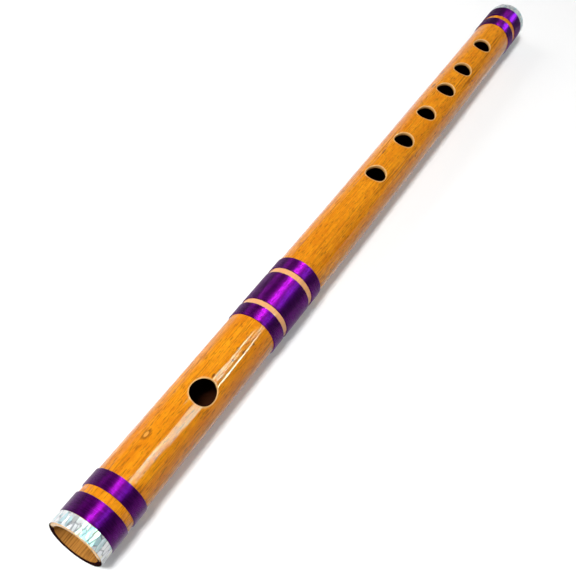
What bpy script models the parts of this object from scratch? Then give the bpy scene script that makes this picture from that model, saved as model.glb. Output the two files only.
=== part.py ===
"""Side-blown bamboo flute: a tube with a blow hole and a row of finger holes, a cork
stopper inside it, a foil collar on each end and thread bindings wound round it.

Metres, +Z up. The flute lies along X with its blow end at -X, its finger holes up, and
its thread bindings resting on z = 0. The origin is under the middle of the flute.
"""
import math

import bmesh
import bpy
from mathutils import Vector

# The bamboo tube
LENGTH = 0.450
OUTER_RADIUS = 0.0122
BORE_RADIUS = 0.0101
BOW = 0.0013                  # how far the middle of the cane bows aside
END_CHAMFER = 0.0003
TUBE_SEGMENTS = 40
BOW_STEP = 0.030              # longest straight stretch of the bowed cane
GAP = 0.0003                  # room between pieces that seat on each other

# Holes, measured from the blow end; a roll turns a hole about the cane, away from +Z
BLOW_HOLE_AT = 0.0747
BLOW_HOLE_LENGTH = 0.0128
BLOW_HOLE_WIDTH = 0.0115
BLOW_HOLE_ROLL = math.radians(14.6)
BLOW_HOLE_UNDERCUT = 0.0006   # how much wider the blow hole is at the bore
FINGER_HOLES_AT = (0.2382, 0.2731, 0.3035, 0.3321, 0.3586, 0.3915)
FINGER_HOLE_LENGTH = 0.0116
FINGER_HOLE_WIDTH = 0.0109
FINGER_ROW_SLANT = math.radians(4.4)   # how far the hand-drilled row turns in its length
HOLE_SEGMENTS = 24
HOLE_REACH = 0.003            # how far a hole's cutter stands out of the cane

# The stopper: its face is about one bore across from the blow hole's middle
STOPPER_FACE_AT = 0.0545
STOPPER_LENGTH = 0.016
STOPPER_TAPER = 0.0003
STOPPER_CHAMFER = 0.0008
STOPPER_SEGMENTS = 32

# Bindings: name, near edge and far edge from the blow end
BINDINGS = (
    ("binding_blow_end_outer", 0.0059, 0.0147),
    ("binding_blow_end_inner", 0.0185, 0.0262),
    ("binding_middle_near", 0.1178, 0.1258),
    ("binding_middle_wide", 0.1288, 0.1483),
    ("binding_middle_far", 0.1515, 0.1596),
    ("binding_foot_inner", 0.4195, 0.4281),
    ("binding_foot_outer", 0.4326, 0.4445),
)
THREAD = 0.00065              # thickness of the binding thread
LEAST_PITCH = 0.0011          # smallest step from one turn to the next
POINTS_PER_TURN = 16
SEAT_DEPTH = 0.0005           # the skin is scraped off where thread or foil seats

# Foil collars
FOIL = 0.00035
FOOT_COLLAR_FROM = 0.4448

SEAT_RADIUS = OUTER_RADIUS - SEAT_DEPTH
TURN_APOTHEM = SEAT_RADIUS + GAP + THREAD / 2
TURN_RADIUS = TURN_APOTHEM / math.cos(math.pi / POINTS_PER_TURN)
FLAT_DEPTH = THREAD / 10      # the turns are pressed flat by this much where they rest
AXIS_HEIGHT = TURN_APOTHEM + THREAD / 2 - FLAT_DEPTH
SMOOTH_ANGLE = math.radians(35)

MATERIALS = {
    "bamboo": ((0.82, 0.42, 0.10), 0.28, 0.0),
    "cork": ((0.48, 0.29, 0.14), 0.90, 0.0),
    "foil": ((0.86, 0.88, 0.90), 0.22, 1.0),
    "thread": ((0.20, 0.01, 0.32), 0.45, 0.0),
}


def empty_the_scene():
    for obj in list(bpy.data.objects):
        bpy.data.objects.remove(obj, do_unlink=True)


def new_collection(name):
    collection = bpy.data.collections.new(name)
    bpy.context.scene.collection.children.link(collection)
    return collection


def new_material(name):
    """A Principled material of its own for each piece."""
    colour, roughness, metallic = MATERIALS[name]
    material = bpy.data.materials.new(name)
    material.use_nodes = True
    shader = material.node_tree.nodes["Principled BSDF"]
    shader.inputs["Base Color"].default_value = (*colour, 1.0)
    shader.inputs["Roughness"].default_value = roughness
    shader.inputs["Metallic"].default_value = metallic
    return material


def world_x(from_blow_end):
    return from_blow_end - LENGTH / 2


def bow(x):
    """Sideways shift of the cane's centre line: a shallow parabola towards -Y."""
    along = 2 * x / LENGTH
    return BOW * (0.5 - (1 - along * along))


def add_object(name, data, collection, material=None):
    obj = bpy.data.objects.new(name, data)
    collection.objects.link(obj)
    if material:
        obj.data.materials.append(new_material(material))
    return obj


def as_plain_mesh(obj, weld=0.0):
    """The object as the viewport shows it, as a mesh in world places."""
    bpy.context.view_layer.update()
    graph = bpy.context.evaluated_depsgraph_get()
    mesh = bpy.data.meshes.new_from_object(obj.evaluated_get(graph))
    mesh.transform(obj.matrix_world)
    if weld:
        shape = bmesh.new()
        shape.from_mesh(mesh)
        bmesh.ops.remove_doubles(shape, verts=shape.verts, dist=weld)
        shape.to_mesh(mesh)
        shape.free()
    bpy.data.objects.remove(obj, do_unlink=True)
    return mesh


def turned(name, outline, closed, segments, collection, material=None):
    """An outline of (distance from blow end, radius) turned round the bowed cane's axis."""
    points = [(radius, 0.0, world_x(at)) for at, radius in outline]
    edges = [(i, i + 1) for i in range(len(points) - 1)]
    if closed:
        edges.append((len(points) - 1, 0))
    profile = bpy.data.meshes.new(name)
    profile.from_pydata(points, edges, [])
    lathe = add_object(name + "_lathe", profile, collection)
    lathe.location.z = AXIS_HEIGHT
    lathe.rotation_euler = (0.0, math.pi / 2, 0.0)
    screw = lathe.modifiers.new("turn", "SCREW")
    screw.steps = segments
    screw.render_steps = segments
    screw.use_merge_vertices = True
    screw.merge_threshold = 0.00001
    mesh = as_plain_mesh(lathe)
    for vertex in mesh.vertices:
        vertex.co.y += bow(vertex.co.x)
    mesh.name = name
    mesh.shade_smooth()
    mesh.set_sharp_from_angle(angle=SMOOTH_ANGLE)
    return add_object(name, mesh, collection, material)


def stepped(start, stop):
    """Places from start to stop, no further apart than the bow's step, without the last."""
    count = max(1, math.ceil(abs(stop - start) / BOW_STEP))
    return [start + (stop - start) * i / count for i in range(count)]


def seats():
    """The stretches where the skin is scraped off, from the blow end to the foot."""
    stretches = []
    for name, near, far in BINDINGS:
        stretches.append([near - GAP, far + GAP])
    stretches[0][0] = 0.0
    stretches[-1][1] = LENGTH
    return stretches


def tube_outline():
    """The wall's closed outline, down the outside from the foot and back up the bore."""
    outside = []
    blow_seat, *middle_seats, foot_seat = seats()
    outside.append((LENGTH, SEAT_RADIUS - END_CHAMFER))
    outside.append((LENGTH - END_CHAMFER, SEAT_RADIUS))
    outside.append((foot_seat[0], SEAT_RADIUS))
    last = foot_seat[0]
    for near, far in reversed(middle_seats):
        outside += [(at, OUTER_RADIUS) for at in stepped(last, far)]
        outside += [(far, OUTER_RADIUS), (far, SEAT_RADIUS), (near, SEAT_RADIUS)]
        last = near
    outside += [(at, OUTER_RADIUS) for at in stepped(last, blow_seat[1])]
    outside += [(blow_seat[1], OUTER_RADIUS), (blow_seat[1], SEAT_RADIUS)]
    outside.append((END_CHAMFER, SEAT_RADIUS))
    outside.append((0.0, SEAT_RADIUS - END_CHAMFER))
    bore = [(0.0, BORE_RADIUS + END_CHAMFER), (END_CHAMFER, BORE_RADIUS)]
    bore += [(at, BORE_RADIUS) for at in stepped(END_CHAMFER, LENGTH - END_CHAMFER)[1:]]
    bore += [(LENGTH - END_CHAMFER, BORE_RADIUS), (LENGTH, BORE_RADIUS + END_CHAMFER)]
    return outside + bore


def hole_cutter(name, at, length, width, undercut, roll, collection):
    """An oval plug that stands in the wall: length along the cane, width across it."""
    depth = OUTER_RADIUS + HOLE_REACH
    shape = bmesh.new()
    bmesh.ops.create_cone(shape, cap_ends=True, segments=HOLE_SEGMENTS,
                          radius1=1.0 + 2 * undercut / width * depth
                          / (OUTER_RADIUS - BORE_RADIUS),
                          radius2=1.0, depth=depth)
    mesh = bpy.data.meshes.new(name)
    bmesh.ops.translate(shape, verts=shape.verts, vec=(0, 0, depth / 2))
    bmesh.ops.scale(shape, verts=shape.verts, vec=(length / 2, width / 2, 1.0))
    shape.to_mesh(mesh)
    shape.free()
    cutter = add_object(name, mesh, collection)
    x = world_x(at)
    cutter.location = (x, bow(x), AXIS_HEIGHT)
    cutter.rotation_euler = (roll, 0.0, 0.0)
    cutter.hide_render = True
    cutter.display_type = "WIRE"
    return cutter


def make_tube(collection, cutters):
    """The cane, with the blow hole and the finger holes cut through one side of its wall."""
    tube = turned("bamboo_tube", tube_outline(), True, TUBE_SEGMENTS, collection, "bamboo")
    holes = [hole_cutter("blow_hole_cutter", BLOW_HOLE_AT, BLOW_HOLE_LENGTH, BLOW_HOLE_WIDTH,
                         BLOW_HOLE_UNDERCUT, BLOW_HOLE_ROLL, cutters)]
    first, last = FINGER_HOLES_AT[0], FINGER_HOLES_AT[-1]
    for number, at in enumerate(FINGER_HOLES_AT, start=1):
        roll = FINGER_ROW_SLANT * ((at - first) / (last - first) - 0.5)
        holes.append(hole_cutter(f"finger_hole_{number}_cutter", at, FINGER_HOLE_LENGTH,
                                 FINGER_HOLE_WIDTH, 0.0, roll, cutters))
    for hole in holes:
        cut = tube.modifiers.new(hole.name, "BOOLEAN")
        cut.operation = "DIFFERENCE"
        cut.solver = "EXACT"
        cut.object = hole
    return tube


def make_stopper(collection):
    """A cork plug that closes the bore just behind the blow hole."""
    back = STOPPER_FACE_AT - STOPPER_LENGTH
    radius = BORE_RADIUS - GAP
    outline = [
        (STOPPER_FACE_AT, 0.0),
        (STOPPER_FACE_AT, radius - STOPPER_TAPER - STOPPER_CHAMFER),
        (STOPPER_FACE_AT - STOPPER_CHAMFER, radius - STOPPER_TAPER),
        (back + STOPPER_CHAMFER, radius),
        (back, radius - STOPPER_CHAMFER),
        (back, 0.0),
    ]
    return turned("cork_stopper", outline, False, STOPPER_SEGMENTS, collection, "cork")


def make_collar(name, near, far, collection):
    """A strip of foil laid once round the cane's scraped end."""
    inside = SEAT_RADIUS + GAP
    outside = inside + FOIL
    outline = [(far, inside), (far, outside), (near, outside), (near, inside)]
    return turned(name, outline, True, TUBE_SEGMENTS, collection, "foil")


def winding_points(near, far):
    """One thread's route: a helix round the bowed cane, run out straight at both ends."""
    start, stop = near + THREAD / 2, far - THREAD / 2
    turns = math.floor((stop - start) / LEAST_PITCH)
    count = turns * POINTS_PER_TURN
    points = []
    for i in range(count + 1):
        x = world_x(start + (stop - start) * i / count)
        angle = 2 * math.pi * (i + 0.5) / POINTS_PER_TURN
        points.append(Vector((x, bow(x) + TURN_RADIUS * math.sin(angle),
                              AXIS_HEIGHT - TURN_RADIUS * math.cos(angle))))
    first = points[0] + (points[0] - points[1]).normalized() * THREAD
    last = points[-1] + (points[-1] - points[-2]).normalized() * THREAD
    return [first] + points + [last], turns


def least_gap(points):
    """The least room between two stretches of one thread at least half a turn apart."""
    apart = POINTS_PER_TURN // 2
    near = min((a - b).length for i, a in enumerate(points) for b in points[i + apart:])
    return near - THREAD


def make_binding(name, near, far, collection, cutters):
    """A binding wound of one thread, pressed flat where the flute rests on it."""
    points, turns = winding_points(near, far)
    print(f"{name}: {turns} turns, least gap {least_gap(points) * 1000:.2f} mm")
    curve = bpy.data.curves.new(name, "CURVE")
    curve.dimensions = "3D"
    curve.bevel_depth = THREAD / 2
    curve.bevel_resolution = 0
    curve.use_fill_caps = True
    spline = curve.splines.new("POLY")
    spline.points.add(len(points) - 1)
    for target, place in zip(spline.points, points):
        target.co = (*place, 1.0)
    thread = add_object(name + "_route", curve, collection)
    mesh = as_plain_mesh(thread, weld=0.000001)
    mesh.name = name
    binding = add_object(name, mesh, collection, "thread")
    rest = add_object(name + "_rest_cutter", rest_block(near, far), cutters)
    rest.hide_render = True
    rest.display_type = "WIRE"
    cut = binding.modifiers.new("rest", "BOOLEAN")
    cut.operation = "DIFFERENCE"
    cut.solver = "EXACT"
    cut.object = rest
    return binding


def rest_block(near, far):
    """A block under the floor that takes the lowest skin off the turns."""
    length, width, height = far - near + 4 * THREAD, 4 * THREAD + OUTER_RADIUS, THREAD
    shape = bmesh.new()
    bmesh.ops.create_cube(shape, size=1.0)
    bmesh.ops.scale(shape, verts=shape.verts, vec=(length, width, height))
    middle = world_x((near + far) / 2)
    bmesh.ops.translate(shape, verts=shape.verts, vec=(middle, bow(middle), -height / 2))
    mesh = bpy.data.meshes.new("rest_block")
    shape.to_mesh(mesh)
    shape.free()
    return mesh


def build():
    empty_the_scene()
    flute = new_collection("bansuri")
    cutters = new_collection("cutters")
    make_tube(flute, cutters)
    make_stopper(flute)
    make_collar("foil_collar_blow_end", 0.0, BINDINGS[0][1] - GAP, flute)
    make_collar("foil_collar_foot", FOOT_COLLAR_FROM, LENGTH, flute)
    for name, near, far in BINDINGS:
        make_binding(name, near, far, flute, cutters)


build()
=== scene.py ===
"""A side-blown bamboo flute with purple thread bindings and foil collars, dressed on its
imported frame. Metres; the flute lies along X, blow end at -X, finger holes up."""
import math

import bmesh
import bpy
import numpy as np
from mathutils import Matrix, Vector


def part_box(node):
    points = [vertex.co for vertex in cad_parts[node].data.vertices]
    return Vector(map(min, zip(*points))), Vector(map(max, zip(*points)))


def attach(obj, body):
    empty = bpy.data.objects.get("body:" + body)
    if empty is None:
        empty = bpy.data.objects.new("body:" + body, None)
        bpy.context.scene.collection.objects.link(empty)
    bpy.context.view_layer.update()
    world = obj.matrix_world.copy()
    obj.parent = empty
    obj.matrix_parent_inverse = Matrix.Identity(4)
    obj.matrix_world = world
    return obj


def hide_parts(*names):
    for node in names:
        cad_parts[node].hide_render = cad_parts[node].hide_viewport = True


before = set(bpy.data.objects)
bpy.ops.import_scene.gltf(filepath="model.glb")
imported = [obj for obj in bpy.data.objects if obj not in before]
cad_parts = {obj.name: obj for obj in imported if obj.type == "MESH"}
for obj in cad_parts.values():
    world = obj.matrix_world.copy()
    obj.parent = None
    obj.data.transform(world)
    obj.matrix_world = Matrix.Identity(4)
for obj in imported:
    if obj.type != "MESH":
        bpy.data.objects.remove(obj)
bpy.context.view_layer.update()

# The camera
# The photographer's view: from above the blow end, along the flute, a little from its
# player's side, with a 50 mm lens.
CAMERA_AT = Vector((-0.30008, -0.07247, 0.31121))
CAMERA_AIM = Vector((-0.07372, 0.00004, 0.01259))
CAMERA_ROLL = math.radians(-17.1)
camera_data = bpy.data.cameras.new("photo_camera")
camera_data.lens = 50.0
camera_data.sensor_width = 36.0
camera_data.clip_start = 0.01
camera = bpy.data.objects.new("photo_camera", camera_data)
bpy.context.scene.collection.objects.link(camera)
forward = (CAMERA_AIM - CAMERA_AT).normalized()
level_right = forward.cross(Vector((0, 0, 1))).normalized()
level_up = level_right.cross(forward)
camera_up = level_up * math.cos(CAMERA_ROLL) + level_right * math.sin(CAMERA_ROLL)
camera_right = forward.cross(camera_up)
turn = Matrix((camera_right, camera_up, -forward)).transposed().to_4x4()
camera.matrix_world = Matrix.Translation(CAMERA_AT) @ turn
bpy.context.scene.camera = camera
bpy.context.scene.view_settings.view_transform = "Standard"

# The floor and the light
# A white paper sweep in a dim room, lit from the camera's side. Two boxes show only as
# reflections: the satin band on the thread and, from ahead, the gloss streak on the cane.
WHITE = (1, 1, 1, 1)
FLOOR_SIZE = 6.0
FLOOR_WHITE = (0.80, 0.80, 0.80, 1)
FLOOR_BOUNCE = (0.62, 0.62, 0.62, 1)
FLOOR_GLOW = 0.20
GLOW_FADE = (0.35, 1.60)  # distances over which the floor fades into the white backdrop
BACKDROP_TOP = (0.16, 0.08)  # how steeply a ray climbs to miss the backdrop, and to meet it
ROOM_LIGHT = 0.15
LAMPS_AIM_AT = Vector((0, 0, 0.0126))
LAMPS = {  # place, width, height, watts, colour, whether it lights or is only mirrored
    "key": ((-0.80, 0.18, 1.60), 0.34, 0.34, 31.0, (1, 1, 1), True),
    "left_fill": ((-0.20, 1.10, 0.80), 0.50, 0.50, 5.0, (1, 1, 1), True),
    "satin_box": ((-0.80, 0.12, 1.60), 0.34, 0.34, 50.0, (1, 1, 1), False),
    "streak_box": ((0.36, -0.49, 0.98), 0.40, 0.25, 22.0, (0.45, 1.0, 0.84), False),
}


def new_material(name):
    """An empty node material and its tree."""
    material = bpy.data.materials.new(name)
    material.use_nodes = True
    material.node_tree.nodes.clear()
    return material, material.node_tree


def add_node(tree, kind, **values):
    """A node of one kind; a value whose name is an input's sets that input."""
    node = tree.nodes.new(kind)
    for name, value in values.items():
        plain = name.replace("_", " ")
        if hasattr(node, name) and name not in node.inputs:
            setattr(node, name, value)
        else:
            node.inputs[plain].default_value = value
    return node


def seen_rays(tree):
    """1 for the rays that show the background: camera, mirrored and refracted ones."""
    path = add_node(tree, "ShaderNodeLightPath")
    mirrored = add_node(tree, "ShaderNodeMath", operation="MAXIMUM")
    tree.links.new(path.outputs["Is Glossy Ray"], mirrored.inputs[0])
    tree.links.new(path.outputs["Is Transmission Ray"], mirrored.inputs[1])
    either = add_node(tree, "ShaderNodeMath", operation="MAXIMUM")
    tree.links.new(path.outputs["Is Camera Ray"], either.inputs[0])
    tree.links.new(mirrored.outputs[0], either.inputs[1])
    return either.outputs[0]


floor_mesh = bpy.data.meshes.new("floor")
half = FLOOR_SIZE / 2
floor_mesh.from_pydata([(-half, -half, 0), (half, -half, 0), (half, half, 0), (-half, half, 0)],
                       [], [(0, 1, 2, 3)])
floor = bpy.data.objects.new("floor", floor_mesh)
bpy.context.scene.collection.objects.link(floor)
floor_material, tree = new_material("white_paper")
paper = add_node(tree, "ShaderNodeBsdfDiffuse")
paper_colour = add_node(tree, "ShaderNodeMix", data_type="RGBA")
paper_colour.inputs[6].default_value = FLOOR_BOUNCE
paper_colour.inputs[7].default_value = FLOOR_WHITE
tree.links.new(paper_colour.outputs[2], paper.inputs["Color"])
glow = add_node(tree, "ShaderNodeEmission", Color=WHITE)
seen = seen_rays(tree)
tree.links.new(seen, paper_colour.inputs[0])
level = add_node(tree, "ShaderNodeMath", operation="MULTIPLY")
floor_at = add_node(tree, "ShaderNodeTexCoord")
distance = add_node(tree, "ShaderNodeVectorMath", operation="LENGTH")
tree.links.new(floor_at.outputs["Object"], distance.inputs[0])
fade = add_node(tree, "ShaderNodeMapRange")
fade.inputs["From Min"].default_value = GLOW_FADE[0]
fade.inputs["From Max"].default_value = GLOW_FADE[1]
fade.inputs["To Min"].default_value = FLOOR_GLOW
fade.inputs["To Max"].default_value = 1.0
tree.links.new(distance.outputs["Value"], fade.inputs["Value"])
tree.links.new(fade.outputs[0], level.inputs[1])
tree.links.new(seen, level.inputs[0])
tree.links.new(level.outputs[0], glow.inputs["Strength"])
both = add_node(tree, "ShaderNodeAddShader")
tree.links.new(paper.outputs[0], both.inputs[0])
tree.links.new(glow.outputs[0], both.inputs[1])
out = add_node(tree, "ShaderNodeOutputMaterial")
tree.links.new(both.outputs[0], out.inputs["Surface"])
floor_mesh.materials.append(floor_material)

world = bpy.data.worlds.new("room")
bpy.context.scene.world = world
world.use_nodes = True
tree = world.node_tree
tree.nodes.clear()
room = add_node(tree, "ShaderNodeBackground", Color=WHITE, Strength=ROOM_LIGHT)
white = add_node(tree, "ShaderNodeBackground", Color=WHITE, Strength=1.0)
sky_at = add_node(tree, "ShaderNodeTexCoord")
sky_axes = add_node(tree, "ShaderNodeSeparateXYZ")
tree.links.new(sky_at.outputs["Generated"], sky_axes.inputs[0])
backdrop = add_node(tree, "ShaderNodeMapRange")
backdrop.inputs["From Min"].default_value = BACKDROP_TOP[0]
backdrop.inputs["From Max"].default_value = BACKDROP_TOP[1]
tree.links.new(sky_axes.outputs["Z"], backdrop.inputs["Value"])
low = add_node(tree, "ShaderNodeMath", operation="MULTIPLY")
tree.links.new(seen_rays(tree), low.inputs[0])
tree.links.new(backdrop.outputs[0], low.inputs[1])
path = add_node(tree, "ShaderNodeLightPath")
shown = add_node(tree, "ShaderNodeMath", operation="MAXIMUM")
tree.links.new(path.outputs["Is Camera Ray"], shown.inputs[0])
tree.links.new(low.outputs[0], shown.inputs[1])
pick = add_node(tree, "ShaderNodeMixShader")
out = add_node(tree, "ShaderNodeOutputWorld")
tree.links.new(shown.outputs[0], pick.inputs[0])
tree.links.new(room.outputs[0], pick.inputs[1])
tree.links.new(white.outputs[0], pick.inputs[2])
tree.links.new(pick.outputs[0], out.inputs["Surface"])

for name, (place, width, height, power, tint, lights) in LAMPS.items():
    lamp_data = bpy.data.lights.new(name, "AREA")
    lamp_data.shape = "RECTANGLE"
    lamp_data.size = width
    lamp_data.size_y = height
    lamp_data.energy = power
    lamp_data.color = tint
    lamp = bpy.data.objects.new(name, lamp_data)
    lamp.location = place
    lamp.visible_diffuse = lights
    aim = LAMPS_AIM_AT - Vector(place)
    lamp.rotation_euler = aim.to_track_quat("-Z", "Y").to_euler()
    bpy.context.scene.collection.objects.link(lamp)

# The bamboo tube
# A length of cane, lacquered orange over its fibres, open at both ends. The seven holes
# are burned and filed through one side; their rims are rounded by hand.
tube_low, tube_high = (np.array(corner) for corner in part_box("bamboo_tube"))
LENGTH = float(tube_high[0] - tube_low[0])
START = float(tube_low[0])
CANE_RADIUS = 0.0122
BORE_RADIUS = 0.0101
AXIS_HEIGHT = 0.012585
BOW = 0.0013
RIM_ROUND = 0.00035
END_ROUND = 0.0004
OUT_OF_ROUND = (0.00006, 0.00004)  # as an oval, and as a soft triangle
AROUND = 120
ALONG = 300
BLOCK_ROOM = 0.0030  # grid left out beyond a hole along the cane
BLOCK_TURN = 0.24  # and round it, in radians
RING_STEPS = 8
LIP_STEPS = 4
WALL_STEPS = 4
HOLES = [  # from the blow end, length, width, roll away from +Z, undercut at the bore
    (0.0747, 0.0128, 0.0115, math.radians(14.6), 0.0006),
]
FINGER_HOLES_AT = (0.2382, 0.2731, 0.3035, 0.3321, 0.3586, 0.3915)
FINGER_HOLE = (0.0116, 0.0109)  # length, width
ROW_SLANT = math.radians(4.4)
row = FINGER_HOLES_AT[-1] - FINGER_HOLES_AT[0]
for at in FINGER_HOLES_AT:
    HOLES.append((at, *FINGER_HOLE, ROW_SLANT * ((at - FINGER_HOLES_AT[0]) / row - 0.5), 0.0))


def on_the_cane(at, angle, radius):
    """Points of the bowed cane: radius turned by angle from +Z towards -Y, the centre
    line moved aside by a parabola of the distance from the blow end."""
    x = at + START
    along = 2 * x / LENGTH
    aside = BOW * (0.5 - (1 - along * along))
    return np.stack([x, aside - radius * np.sin(angle), AXIS_HEIGHT + radius * np.cos(angle)], -1)


def cane_radius(at, angle):
    """The outside: a round cane less two small cosine waves that wander along it, so that
    it never passes its full radius."""
    uneven = (OUT_OF_ROUND[0] * (np.cos(2 * angle + 9 * at) - 1)
              + OUT_OF_ROUND[1] * (np.cos(3 * angle - 31 * at + 1) - 1))
    return CANE_RADIUS + uneven


def new_object(name, places, faces, smooth=True, finish=None):
    """A mesh object of points and quads, with unused points left out. finish gives the
    points' values of named attributes."""
    faces = np.asarray(faces)
    used, renumbered = np.unique(faces, return_inverse=True)
    faces = renumbered.reshape(faces.shape)
    mesh = bpy.data.meshes.new(name)
    mesh.from_pydata(places[used].tolist(), [], faces.tolist())
    for attribute, values in (finish or {}).items():
        layer = mesh.attributes.new(attribute, "FLOAT", "POINT")
        layer.data.foreach_set("value", np.asarray(values, np.float32)[used])
    mesh.validate()
    if smooth:
        mesh.shade_smooth()
    obj = bpy.data.objects.new(name, mesh)
    bpy.context.scene.collection.objects.link(obj)
    return obj


def sheet_of(first, rows, columns, wrapped):
    """Quads of a grid whose points are numbered row by row from first."""
    row_at = np.arange(rows - 1)[:, None]
    column_at = np.arange(columns if wrapped else columns - 1)[None, :]
    right = (column_at + 1) % columns
    a = first + row_at * columns + column_at
    b = first + row_at * columns + right
    c = first + (row_at + 1) * columns + right
    d = first + (row_at + 1) * columns + column_at
    return np.stack([a, b, c, d], -1)


def cane_surface():
    """The whole cane as one closed skin: an outer and an inner grid of (distance along,
    angle round), joined by round lips at both ends. Round each hole a block of both
    grids is left out, and rings carry the block's edge in to the hole's oval rim, over
    the rounded lip, down the wall and out again to the inner block's edge."""
    at = np.linspace(END_ROUND, LENGTH - END_ROUND, ALONG + 1)
    angle = np.arange(AROUND) * 2 * np.pi / AROUND - np.pi
    grid_at, grid_angle = np.meshgrid(at, angle, indexing="ij")
    outer = on_the_cane(grid_at, grid_angle, cane_radius(grid_at, grid_angle))
    inner = on_the_cane(grid_at, grid_angle, np.full_like(grid_at, BORE_RADIUS))
    size = (ALONG + 1) * AROUND
    places = [outer.reshape(-1, 3), inner.reshape(-1, 3)]
    inside = [np.zeros(size), np.ones(size)]
    cut = [np.zeros(size), np.zeros(size)]
    total = 2 * size
    outer_faces = sheet_of(0, ALONG + 1, AROUND, True)
    inner_faces = sheet_of(size, ALONG + 1, AROUND, True)[..., ::-1]
    keep = np.ones(outer_faces.shape[:2], bool)
    hole_faces = []
    step_at, step_angle = at[1] - at[0], angle[1] - angle[0]
    for hole_at, length, width, roll, undercut in HOLES:
        reach_at = length / 2 + BLOCK_ROOM
        reach_angle = math.asin(width / 2 / CANE_RADIUS) + BLOCK_TURN
        low_row = int(round((hole_at - reach_at - END_ROUND) / step_at))
        high_row = int(round((hole_at + reach_at - END_ROUND) / step_at))
        low_column = int(round((roll - reach_angle + np.pi) / step_angle))
        high_column = int(round((roll + reach_angle + np.pi) / step_angle))
        keep[low_row:high_row, low_column:high_column] = False
        rows = np.concatenate([np.full(high_column - low_column, low_row),
                               np.arange(low_row, high_row),
                               np.full(high_column - low_column, high_row),
                               np.arange(high_row, low_row, -1)])
        columns = np.concatenate([np.arange(low_column, high_column),
                                  np.full(high_row - low_row, high_column),
                                  np.arange(high_column, low_column, -1),
                                  np.full(high_row - low_row, low_column)])
        edge_at, edge_angle = at[rows], angle[columns]
        phase = np.arctan2((edge_angle - roll) / reach_angle, (edge_at - hole_at) / reach_at)
        rings = []
        ring_finish = []

        def oval(grown, radius):
            """The oval of the hole, grown all round, laid on a cylinder of a radius."""
            half_length, half_width = length / 2 + grown, width / 2 + grown
            return (hole_at + half_length * np.cos(phase),
                    roll + np.arcsin(half_width * np.sin(phase) / radius))

        rim_at, rim_angle = oval(RIM_ROUND, CANE_RADIUS)
        for share in np.linspace(0, 1, RING_STEPS + 1)[1:]:
            a = edge_at + (rim_at - edge_at) * share
            b = edge_angle + (rim_angle - edge_angle) * share
            rings.append(on_the_cane(a, b, cane_radius(a, b)))
            ring_finish.append((0, 1 if share == 1 else 0))
        for lip in np.linspace(0, np.pi / 2, LIP_STEPS + 1)[1:]:
            drop = RIM_ROUND * (1 - math.cos(lip))
            a, b = oval(RIM_ROUND * (1 - math.sin(lip)), CANE_RADIUS - drop)
            rings.append(on_the_cane(a, b, cane_radius(a, b) - drop))
            ring_finish.append((0, 1))
        # Down each hole's wall the pale cut fades and the dark bore colour comes in: painted shade
        # deepening into the hole.
        for deep in np.linspace(0, 1, WALL_STEPS + 1)[1:]:
            radius = CANE_RADIUS - RIM_ROUND + (BORE_RADIUS - CANE_RADIUS + RIM_ROUND) * deep
            a, b = oval(undercut * deep, radius)
            rings.append(on_the_cane(a, b, np.full_like(a, radius)))
            ring_finish.append((deep ** 3, 1 - 0.5 * deep))
        rim_at, rim_angle = oval(undercut, BORE_RADIUS)
        for share in np.linspace(1, 0, RING_STEPS + 1)[1:-1]:
            a = edge_at + (rim_at - edge_at) * share
            b = edge_angle + (rim_angle - edge_angle) * share
            rings.append(on_the_cane(a, b, np.full_like(a, BORE_RADIUS)))
            ring_finish.append((1, 0))
        count = len(rows)
        numbers = [rows * AROUND + columns]
        for ring, (ring_inside, ring_cut) in zip(rings, ring_finish):
            numbers.append(total + np.arange(count))
            places.append(ring)
            inside.append(np.full(count, ring_inside))
            cut.append(np.full(count, ring_cut))
            total += count
        numbers.append(size + rows * AROUND + columns)
        for one, other in zip(numbers, numbers[1:]):
            hole_faces.append(np.stack([one, np.roll(one, -1), np.roll(other, -1), other], -1))
    lips = []
    for row_number, side in ((0, -1), (ALONG, 1)):
        edge = [row_number * AROUND + np.arange(AROUND)]
        for lip in np.linspace(0, np.pi / 2, LIP_STEPS + 1)[1:]:
            moved = at[row_number] + side * END_ROUND * math.sin(lip)
            drop = END_ROUND * (1 - math.cos(lip))
            radius = cane_radius(np.full(AROUND, moved), angle) - drop
            places.append(on_the_cane(np.full(AROUND, moved), angle, radius))
            inside.append(np.zeros(AROUND))
            cut.append(np.ones(AROUND))
            edge.append(total + np.arange(AROUND))
            total += AROUND
        for lip in np.linspace(np.pi / 2, 0, LIP_STEPS + 1)[:-1]:
            moved = at[row_number] + side * END_ROUND * math.sin(lip)
            radius = np.full(AROUND, BORE_RADIUS + END_ROUND * (1 - math.cos(lip)))
            places.append(on_the_cane(np.full(AROUND, moved), angle, radius))
            inside.append(np.zeros(AROUND))
            cut.append(np.ones(AROUND))
            edge.append(total + np.arange(AROUND))
            total += AROUND
        edge.append(size + row_number * AROUND + np.arange(AROUND))
        for one, other in zip(edge, edge[1:]):
            quads = np.stack([one, np.roll(one, -1), np.roll(other, -1), other], -1)
            lips.append(quads[:, ::-1] if side < 0 else quads)
    faces = [outer_faces[keep], inner_faces[keep]] + hole_faces + lips
    faces = np.concatenate([part.reshape(-1, 4) for part in faces])
    finish = {"inside": np.concatenate(inside), "cut": np.concatenate(cut)}
    return np.concatenate(places), faces, finish


def face_outwards(obj):
    """Turns every face of a closed mesh to point out."""
    shape = bmesh.new()
    shape.from_mesh(obj.data)
    bmesh.ops.recalc_face_normals(shape, faces=shape.faces)
    shape.to_mesh(obj.data)
    shape.free()


cane_places, cane_faces, cane_finish = cane_surface()
cane = new_object("cane", cane_places, cane_faces, finish=cane_finish)
face_outwards(cane)

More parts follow.
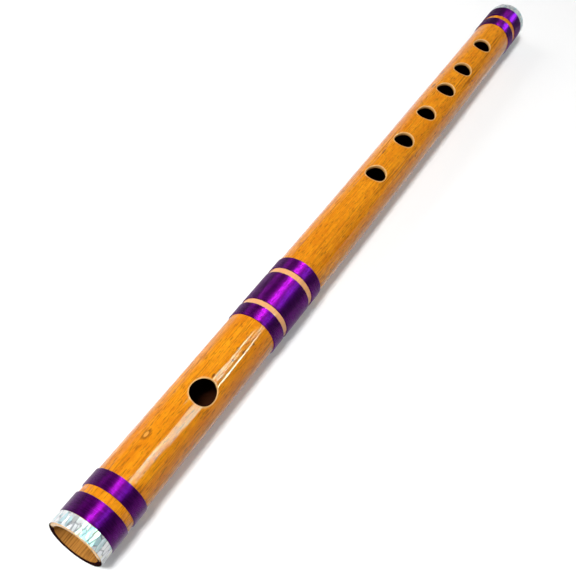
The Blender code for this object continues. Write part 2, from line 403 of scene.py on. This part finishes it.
LIT_CANE = (0.87, 0.330, 0.010, 1)
DEEP_CANE = (0.71, 0.230, 0.005, 1)
FIBRE_DARK = (0.44, 0.110, 0.003, 1)
# The bore's own brown near the mouth, then the painted shade it darkens to further in.
BORE_PALE = (0.50, 0.220, 0.045, 1)
BORE_PAINTED_SHADE = (0.030, 0.009, 0.004, 1)
CUT_PALE = (0.80, 0.50, 0.20, 1)
# Colour of the blow end's face on its lower side: painted shade over a darker face.
END_FACE_DARK_AND_SHADE = (0.020, 0.006, 0.006, 1)
SUN_WARM = (0.60, 0.135, 0.006, 1)
SPECK_DARK = (0.16, 0.045, 0.008, 1)
LONG_FIBRE = (0.22, 0.055, 0.006, 1)
MARK_DARK = (0.12, 0.035, 0.010, 1)
SCAR_PALE = (0.85, 0.38, 0.060, 1)
GAP_PALE = (0.86, 0.50, 0.26, 1)
BLACK = (0, 0, 0, 1)
LEAF_SCAR = (0.0458, -18.3, 0.0052, 0.0013)  # its pale heart, given as in MARKS
GAPS = ((0.1257, 0.1289), (0.1482, 0.1516))  # between the middle bindings, where the cane is paler
BORE_SHADE_DEEPENS = (0.012, 0.045)  # distances from the blow end over which the bore darkens: painted shade
# The blow end's face darkens over these distances, most on its lower side: a darker face with
# painted shade.
END_SHADE_EDGE = (0.0008, 0.0004)
END_SHADE_LOW = (0.006, -0.004)  # heights over the axis: where the end face's painted shade starts, and is deepest
MARKS = [  # from the blow end, roll in degrees, length, width, how dark
    (0.0458, -18.3, 0.0078, 0.0021, 0.60),
    (0.0832, 8.2, 0.0030, 0.0007, 0.80),
    (0.0946, 19.5, 0.0018, 0.0007, 0.75),
    (0.1010, 25.3, 0.0022, 0.0006, 0.75),
    (0.1077, 31.5, 0.0016, 0.0006, 0.70),
    (0.2571, -24.3, 0.0060, 0.0012, 0.45),
    (0.2704, 52.3, 0.0030, 0.0006, 0.75),
    (0.3330, -41.3, 0.0070, 0.0012, 0.70),
    (0.3516, -51.7, 0.0060, 0.0012, 0.75),
    (0.3566, 46.2, 0.0020, 0.0008, 0.65),
]


def grain_group():
    """The grain that every finish shares: noise over coordinates times a stretch."""
    group = bpy.data.node_groups.new("stretched_grain", "ShaderNodeTree")
    for name, kind in (("Vector", "NodeSocketVector"), ("Stretch", "NodeSocketVector"),
                       ("Scale", "NodeSocketFloat"), ("Detail", "NodeSocketFloat"),
                       ("Roughness", "NodeSocketFloat")):
        group.interface.new_socket(name=name, in_out="INPUT", socket_type=kind)
    group.interface.new_socket(name="Grain", in_out="OUTPUT", socket_type="NodeSocketFloat")
    given = group.nodes.new("NodeGroupInput")
    stretched = group.nodes.new("ShaderNodeMapping")
    noise = group.nodes.new("ShaderNodeTexNoise")
    result = group.nodes.new("NodeGroupOutput")
    group.links.new(given.outputs["Vector"], stretched.inputs["Vector"])
    group.links.new(given.outputs["Stretch"], stretched.inputs["Scale"])
    group.links.new(stretched.outputs[0], noise.inputs["Vector"])
    for name in ("Scale", "Detail", "Roughness"):
        group.links.new(given.outputs[name], noise.inputs[name])
    group.links.new(noise.outputs["Fac"], result.inputs["Grain"])
    return group


GRAIN = grain_group()


def grain_at(tree, coordinates, stretch, scale, detail, roughness):
    """The shared grain placed in a material, with that material's own values."""
    grain = add_node(tree, "ShaderNodeGroup", node_tree=GRAIN, Stretch=stretch, Scale=scale,
                     Detail=detail, Roughness=roughness)
    tree.links.new(coordinates, grain.inputs["Vector"])
    return grain.outputs["Grain"]


def ramp_of(tree, value, stops):
    """A colour ramp over a value, from pairs of place and colour."""
    ramp = add_node(tree, "ShaderNodeValToRGB")
    while len(ramp.color_ramp.elements) < len(stops):
        ramp.color_ramp.elements.new(0.5)
    for element, (place, colour) in zip(ramp.color_ramp.elements, stops):
        element.position = place
        element.color = colour
    tree.links.new(value, ramp.inputs["Fac"])
    return ramp.outputs["Color"]


def mixed(tree, share, one, other, blend="MIX"):
    """Two colours mixed by a share; each is a socket or a plain colour."""
    mix = add_node(tree, "ShaderNodeMix", data_type="RGBA", blend_type=blend)
    for socket, value in ((mix.inputs[0], share), (mix.inputs[6], one), (mix.inputs[7], other)):
        if isinstance(value, bpy.types.NodeSocket):
            tree.links.new(value, socket)
        else:
            socket.default_value = value
    return mix.outputs[2]


def times(tree, value, factor):
    """A value multiplied by a number or another value."""
    node = add_node(tree, "ShaderNodeMath", operation="MULTIPLY")
    tree.links.new(value, node.inputs[0])
    if isinstance(factor, bpy.types.NodeSocket):
        tree.links.new(factor, node.inputs[1])
    else:
        node.inputs[1].default_value = factor
    return node.outputs[0]


def mark_on(tree, coordinates, at, roll, length, width):
    """A soft spindle-shaped spot on the cane: a round gradient on stretched coordinates."""
    place = on_the_cane(np.float64(at), np.radians(roll), CANE_RADIUS)
    mapping = add_node(tree, "ShaderNodeMapping", vector_type="TEXTURE")
    mapping.inputs["Location"].default_value = place
    mapping.inputs["Scale"].default_value = (length / 2, width, width)
    tree.links.new(coordinates, mapping.inputs["Vector"])
    ball = add_node(tree, "ShaderNodeTexGradient", gradient_type="SPHERICAL")
    tree.links.new(mapping.outputs[0], ball.inputs["Vector"])
    return ball.outputs["Fac"]


cane_material, tree = new_material("lacquered_bamboo")
where = add_node(tree, "ShaderNodeTexCoord").outputs["Object"]
inside = add_node(tree, "ShaderNodeAttribute", attribute_name="inside").outputs["Fac"]
cut = add_node(tree, "ShaderNodeAttribute", attribute_name="cut").outputs["Fac"]
broad = grain_at(tree, where, (0.14, 1, 1), 150, 4, 0.6)
fine = grain_at(tree, where, (0.035, 1, 1), 1400, 4, 0.7)
mottle = grain_at(tree, where, (0.60, 1, 1), 420, 4, 0.7)
specks = grain_at(tree, where, (0.16, 1, 1), 1500, 3, 0.6)
colour = ramp_of(tree, broad, [(0.32, DEEP_CANE), (0.58, LIT_CANE)])
fibres = times(tree, ramp_of(tree, fine, [(0.36, WHITE), (0.54, BLACK)]), 0.42)
colour = mixed(tree, fibres, colour, FIBRE_DARK)
warm = times(tree, ramp_of(tree, mottle, [(0.42, BLACK), (0.62, WHITE)]), 0.45)
colour = mixed(tree, warm, colour, SUN_WARM)
speck = times(tree, ramp_of(tree, specks, [(0.34, WHITE), (0.45, BLACK)]), 0.55)
colour = mixed(tree, speck, colour, SPECK_DARK)
threads = grain_at(tree, where, (0.014, 1, 1), 1900, 2, 0.5)
long_line = ramp_of(tree, threads, [(0.36, WHITE), (0.46, BLACK)])
in_patches = ramp_of(tree, broad, [(0.40, BLACK), (0.60, WHITE)])
long_line = times(tree, times(tree, long_line, in_patches), 0.60)
colour = mixed(tree, long_line, colour, LONG_FIBRE)
ragged = grain_at(tree, where, (0.5, 1, 1), 1400, 2, 0.5)
for at, roll, length, width, dark in MARKS:
    spot = mark_on(tree, where, at, roll, length, width)
    rough_spot = ramp_of(tree, times(tree, spot, ragged), [(0.06, BLACK), (0.22, WHITE)])
    colour = mixed(tree, times(tree, rough_spot, dark), colour, MARK_DARK)
scar = mark_on(tree, where, *LEAF_SCAR)
pale_heart = ramp_of(tree, scar, [(0.30, BLACK), (0.55, WHITE)])
colour = mixed(tree, times(tree, pale_heart, 0.85), colour, SCAR_PALE)
split = add_node(tree, "ShaderNodeSeparateXYZ")
tree.links.new(where, split.inputs[0])
for near, far in GAPS:
    gap = add_node(tree, "ShaderNodeMath", operation="COMPARE")
    gap.inputs[1].default_value = START + (near + far) / 2
    gap.inputs[2].default_value = (far - near) / 2
    tree.links.new(split.outputs["X"], gap.inputs[0])
    colour = mixed(tree, times(tree, gap.outputs[0], 0.60), colour, GAP_PALE)
# The bore darkens with distance from the blow end: painted shade deep in the tube, over the bore's
# own brown.
depth = add_node(tree, "ShaderNodeMapRange")
depth.inputs["From Min"].default_value = START + BORE_SHADE_DEEPENS[0]
depth.inputs["From Max"].default_value = START + BORE_SHADE_DEEPENS[1]
tree.links.new(split.outputs["X"], depth.inputs["Value"])
bore_with_shade = mixed(tree, depth.outputs[0], BORE_PALE, BORE_PAINTED_SHADE)
bore_with_shade = mixed(tree, times(tree, fibres, 1.5), bore_with_shade, BORE_PAINTED_SHADE)
colour = mixed(tree, times(tree, cut, 0.8), colour, CUT_PALE)
# The blow end's face, ragged and darkest on its lower side: painted shade over a darker face; the
# coat is left off there.
end_edge = add_node(tree, "ShaderNodeMapRange")
end_edge.inputs["From Min"].default_value = START + END_SHADE_EDGE[0]
end_edge.inputs["From Max"].default_value = START + END_SHADE_EDGE[1]
tree.links.new(split.outputs["X"], end_edge.inputs["Value"])
low_side = add_node(tree, "ShaderNodeMapRange")
low_side.inputs["From Min"].default_value = AXIS_HEIGHT + END_SHADE_LOW[0]
low_side.inputs["From Max"].default_value = AXIS_HEIGHT + END_SHADE_LOW[1]
low_side.inputs["To Min"].default_value = 0.25
low_side.inputs["To Max"].default_value = 1.60
tree.links.new(split.outputs["Z"], low_side.inputs["Value"])
lower_end_shade = ramp_of(tree, times(tree, mottle, low_side.outputs[0]), [(0.24, BLACK), (0.40, WHITE)])
end_dark_and_shade = times(tree, end_edge.outputs[0], lower_end_shade)
colour = mixed(tree, end_dark_and_shade, colour, END_FACE_DARK_AND_SHADE)
dull = add_node(tree, "ShaderNodeMath", operation="MAXIMUM")
tree.links.new(end_dark_and_shade, dull.inputs[0])
tree.links.new(inside, dull.inputs[1])
coat = ramp_of(tree, dull.outputs[0], [(0.0, WHITE), (1.0, BLACK)])
colour = mixed(tree, inside, colour, bore_with_shade)
shader = add_node(tree, "ShaderNodeBsdfPrincipled", Roughness=0.45)
tree.links.new(coat, shader.inputs["Coat Weight"])
shader.inputs["Coat IOR"].default_value = 1.25
shader.inputs["Coat Roughness"].default_value = 0.04
shader.inputs["Specular IOR Level"].default_value = 0.0
tree.links.new(colour, shader.inputs["Base Color"])
bump = add_node(tree, "ShaderNodeBump", Strength=0.25, Distance=0.0002)
tree.links.new(fine, bump.inputs["Height"])
tree.links.new(bump.outputs[0], shader.inputs["Normal"])
ridge_axes = add_node(tree, "ShaderNodeMapping", Scale=(0.018, 1, 1))
tree.links.new(where, ridge_axes.inputs["Vector"])
ridges = add_node(tree, "ShaderNodeTexNoise", Scale=820, Detail=1, Roughness=0.5)
tree.links.new(ridge_axes.outputs[0], ridges.inputs["Vector"])
gloss_bump = add_node(tree, "ShaderNodeBump", Strength=1.0, Distance=0.00040)
tree.links.new(ridges.outputs["Fac"], gloss_bump.inputs["Height"])
tree.links.new(gloss_bump.outputs[0], shader.inputs["Coat Normal"])
out = add_node(tree, "ShaderNodeOutputMaterial")
tree.links.new(shader.outputs[0], out.inputs["Surface"])
cane.data.materials.append(cane_material)
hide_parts("bamboo_tube")
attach(cane, "root")

# The thread bindings
# Purple satin thread, wound close and glued. Each binding is one corrugated skin whose
# ridges follow the thread's helix.
BINDINGS = {
    "binding_blow_end_outer": (0.0059, 0.0147),
    "binding_blow_end_inner": (0.0185, 0.0262),
    "binding_middle_near": (0.1178, 0.1258),
    "binding_middle_wide": (0.1288, 0.1483),
    "binding_middle_far": (0.1515, 0.1596),
    "binding_foot_inner": (0.4195, 0.4281),
    "binding_foot_outer": (0.4326, 0.4445),
}
THREAD_PITCH = 0.00040
THREAD_PROUD = 0.00036
THREAD_AROUND = 96
THREAD_SAMPLES = 6
THREAD_SEAT = 0.0001  # how far the skin starts inside the cane
THREAD_UNDER = 0.00025  # how deep its hidden underside lies
THREAD_FLAT = 0.10  # where the half ellipse is cut off between two turns
THREAD_BODY = 0.55  # the part of the thread's height that is smooth
THREAD_RIDGE = 0.45  # and the part that rises and falls with each turn
THREAD_END = 0.6  # of a pitch, over which the last turn rolls down
THREAD_DEEP = (0.050, 0.0008, 0.070, 1)
THREAD_LIT = (0.090, 0.0024, 0.125, 1)
THREAD_SHADE = (0.80, 0.80, 0.80, 1)


def wound_skin(near, far):
    """The outside of close-wound thread as a closed ring: radius over a helix of phase
    (distance / pitch - angle / a full turn), each turn a half ellipse; the ring's ends
    drop to the cane and run back under the thread."""
    turns = round((far - near) / THREAD_PITCH)
    count = turns * THREAD_SAMPLES + 1
    at = np.linspace(near, far, count)
    angle = np.arange(THREAD_AROUND) * 2 * np.pi / THREAD_AROUND
    grid_at, grid_angle = np.meshgrid(at, angle, indexing="ij")
    phase = (grid_at - near) / (far - near) * turns - grid_angle / (2 * np.pi)
    across = 2 * (phase - np.floor(phase)) - 1
    ridge = np.sqrt(np.clip(1 - across ** 2, THREAD_FLAT, 1))
    end = np.minimum(grid_at - near, far - grid_at) / (THREAD_PITCH * THREAD_END)
    rise = np.sqrt(np.clip(1 - (1 - np.clip(end, 0, 1)) ** 2, 0, 1))
    height = (THREAD_PROUD + THREAD_SEAT) * rise * (THREAD_BODY + THREAD_RIDGE * ridge)
    radius = CANE_RADIUS - THREAD_SEAT + height
    outer = on_the_cane(grid_at, grid_angle, radius)
    under = on_the_cane(grid_at[[0, -1]], grid_angle[[0, -1]], CANE_RADIUS - THREAD_UNDER)
    size = count * THREAD_AROUND
    places = np.concatenate([outer.reshape(-1, 3), under.reshape(-1, 3)])
    skin = sheet_of(0, count, THREAD_AROUND, True)
    back = sheet_of(size, 2, THREAD_AROUND, True)[..., ::-1]
    near_edge, far_edge = np.arange(THREAD_AROUND), size - THREAD_AROUND + np.arange(THREAD_AROUND)
    near_under, far_under = size + near_edge, size + THREAD_AROUND + near_edge
    near_lip = np.stack([near_under, np.roll(near_under, -1), np.roll(near_edge, -1), near_edge], -1)
    far_lip = np.stack([far_edge, np.roll(far_edge, -1), np.roll(far_under, -1), far_under], -1)
    faces = [skin.reshape(-1, 4), back.reshape(-1, 4), near_lip, far_lip]
    return places, np.concatenate(faces)


thread_material, tree = new_material("satin_thread")
where = add_node(tree, "ShaderNodeTexCoord").outputs["Object"]
strand = grain_at(tree, where, (1, 0.12, 0.12), 2600, 2, 0.5)
patch = grain_at(tree, where, (1, 1, 1), 220, 2, 0.5)
colour = ramp_of(tree, strand, [(0.35, THREAD_DEEP), (0.65, THREAD_LIT)])
shade = ramp_of(tree, patch, [(0.35, THREAD_SHADE), (0.65, WHITE)])
colour = mixed(tree, 1.0, colour, shade, "MULTIPLY")
shader = add_node(tree, "ShaderNodeBsdfPrincipled", Roughness=0.30, Metallic=1.0)
tree.links.new(colour, shader.inputs["Base Color"])
out = add_node(tree, "ShaderNodeOutputMaterial")
tree.links.new(shader.outputs[0], out.inputs["Surface"])
for name, (near, far) in BINDINGS.items():
    winding = new_object(name + "_thread", *wound_skin(near, far))
    face_outwards(winding)
    winding.data.materials.append(thread_material)
    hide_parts(name)
    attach(winding, "root")

# The foil collars
# Crinkled holographic foil, cut in a strip and stuck in one layer round each end of the
# cane, right up to its rim.
FOIL_SPAN = {"foil_collar_blow_end": (0.0001, 0.0058), "foil_collar_foot": (0.4446, 0.4499)}
FOIL_RADIUS = CANE_RADIUS + 0.00012
FOIL_THICK = 0.00008
FOIL_AROUND = 180
FOIL_ALONG = 16
FOLD_COUNT = 9
FOLD_TURNS = (3, 17)
FOLD_SLANT = 900
FOLD_SHIFT = 6.3
FOLD_LIFT = 0.00010
FOLD_LEVEL = 0.6
FOIL_CELLS = 620.0
FOIL_STRETCH = (0.35, 1, 1)
FOIL_TINTS = [
    (0.28, (0.46, 0.64, 0.68, 1)), (0.38, (0.76, 0.77, 0.78, 1)), (0.50, (0.70, 0.71, 0.74, 1)),
    (0.58, (0.80, 0.80, 0.81, 1)), (0.68, (0.44, 0.47, 0.50, 1)), (0.76, (0.76, 0.74, 0.62, 1)),
]
# Colour of the crease lines: painted shade in the foil's creases.
FOIL_CREASE_SHADE = (0.16, 0.17, 0.19, 1)


def foil_surface(near, far, seed):
    """A thin closed ring: radius over (distance, angle) is the foil's own plus the mean of
    folded sine waves on slanted lines; the inner face lies a foil's thickness in."""
    draw = np.random.default_rng(seed)
    at = np.linspace(near, far, FOIL_ALONG)
    angle = np.arange(FOIL_AROUND) * 2 * np.pi / FOIL_AROUND
    grid_at, grid_angle = np.meshgrid(at, angle, indexing="ij")
    crease = np.zeros_like(grid_at)
    for _ in range(FOLD_COUNT):
        turns = draw.integers(*FOLD_TURNS)
        slant = draw.uniform(-FOLD_SLANT, FOLD_SLANT)
        shift = draw.uniform(0, FOLD_SHIFT)
        crease += np.abs(np.sin(turns * grid_angle + slant * grid_at + shift)) / FOLD_COUNT
    radius = FOIL_RADIUS + FOLD_LIFT * (crease - FOLD_LEVEL)
    outer = on_the_cane(grid_at, grid_angle, radius)
    inner = on_the_cane(grid_at, grid_angle, radius - FOIL_THICK)
    size = FOIL_ALONG * FOIL_AROUND
    ring = np.arange(FOIL_AROUND)
    near_lip = np.stack([size + ring, size + np.roll(ring, -1), np.roll(ring, -1), ring], -1)
    last = size - FOIL_AROUND + ring
    far_lip = np.stack([last, np.roll(last, -1), size + np.roll(last, -1), size + last], -1)
    faces = [sheet_of(0, FOIL_ALONG, FOIL_AROUND, True).reshape(-1, 4),
             sheet_of(size, FOIL_ALONG, FOIL_AROUND, True)[..., ::-1].reshape(-1, 4),
             near_lip, far_lip]
    return np.concatenate([outer.reshape(-1, 3), inner.reshape(-1, 3)]), np.concatenate(faces)


foil_material, tree = new_material("holographic_foil")
where = add_node(tree, "ShaderNodeTexCoord").outputs["Object"]
folds = add_node(tree, "ShaderNodeMapping")
folds.inputs["Scale"].default_value = FOIL_STRETCH
tree.links.new(where, folds.inputs["Vector"])
cells = add_node(tree, "ShaderNodeTexVoronoi", Scale=FOIL_CELLS, Randomness=1.0)
tree.links.new(folds.outputs[0], cells.inputs["Vector"])
cell_number = grain_at(tree, cells.outputs["Color"], (1, 1, 1), 1.9, 0, 0.5)
tint = ramp_of(tree, cell_number, FOIL_TINTS)
# Dark lines along the cell edges, in patches: painted shade in the foil's creases.
edge = add_node(tree, "ShaderNodeTexVoronoi", Scale=FOIL_CELLS, feature="DISTANCE_TO_EDGE")
tree.links.new(folds.outputs[0], edge.inputs["Vector"])
line = ramp_of(tree, edge.outputs["Distance"], [(0.00, WHITE), (0.10, BLACK)])
patch = grain_at(tree, where, (1, 1, 1), 330, 2, 0.6)
patch = ramp_of(tree, patch, [(0.42, BLACK), (0.54, WHITE)])
painted_crease_shade = times(tree, times(tree, line, patch), 0.85)
colour = mixed(tree, painted_crease_shade, tint, FOIL_CREASE_SHADE)
shader = add_node(tree, "ShaderNodeBsdfPrincipled", Roughness=0.32, Metallic=0.50)
tree.links.new(colour, shader.inputs["Base Color"])
bump = add_node(tree, "ShaderNodeBump", Strength=0.9, Distance=0.0005)
tree.links.new(cells.outputs["Distance"], bump.inputs["Height"])
tree.links.new(bump.outputs[0], shader.inputs["Normal"])
out = add_node(tree, "ShaderNodeOutputMaterial")
tree.links.new(shader.outputs[0], out.inputs["Surface"])
for seed, (name, (near, far)) in enumerate(FOIL_SPAN.items(), start=3):
    foil = new_object(name + "_foil", *foil_surface(near, far, seed), smooth=False)
    face_outwards(foil)
    foil.data.materials.append(foil_material)
    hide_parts(name)
    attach(foil, "root")

# The cork stopper
# A turned plug of natural cork pushed up the bore. Its solid stays and takes a cork
# finish with pores and darker streaks.
CORK_DEEP = (0.30, 0.150, 0.060, 1)
CORK_LIT = (0.52, 0.31, 0.15, 1)
PORE_DARK = (0.09, 0.04, 0.02, 1)
cork_material, tree = new_material("cork")
where = add_node(tree, "ShaderNodeTexCoord").outputs["Object"]
grains = grain_at(tree, where, (1, 1, 1), 520, 4, 0.65)
pores = grain_at(tree, where, (0.5, 1, 1), 900, 2, 0.5)
colour = ramp_of(tree, grains, [(0.35, CORK_DEEP), (0.65, CORK_LIT)])
pore = ramp_of(tree, pores, [(0.30, WHITE), (0.38, BLACK)])
colour = mixed(tree, pore, colour, PORE_DARK)
shader = add_node(tree, "ShaderNodeBsdfPrincipled", Roughness=0.9)
tree.links.new(colour, shader.inputs["Base Color"])
bump = add_node(tree, "ShaderNodeBump", Strength=0.6, Distance=0.0004)
tree.links.new(grains, bump.inputs["Height"])
tree.links.new(bump.outputs[0], shader.inputs["Normal"])
out = add_node(tree, "ShaderNodeOutputMaterial")
tree.links.new(shader.outputs[0], out.inputs["Surface"])
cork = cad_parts["cork_stopper"]
cork.data.materials.clear()
cork.data.materials.append(cork_material)
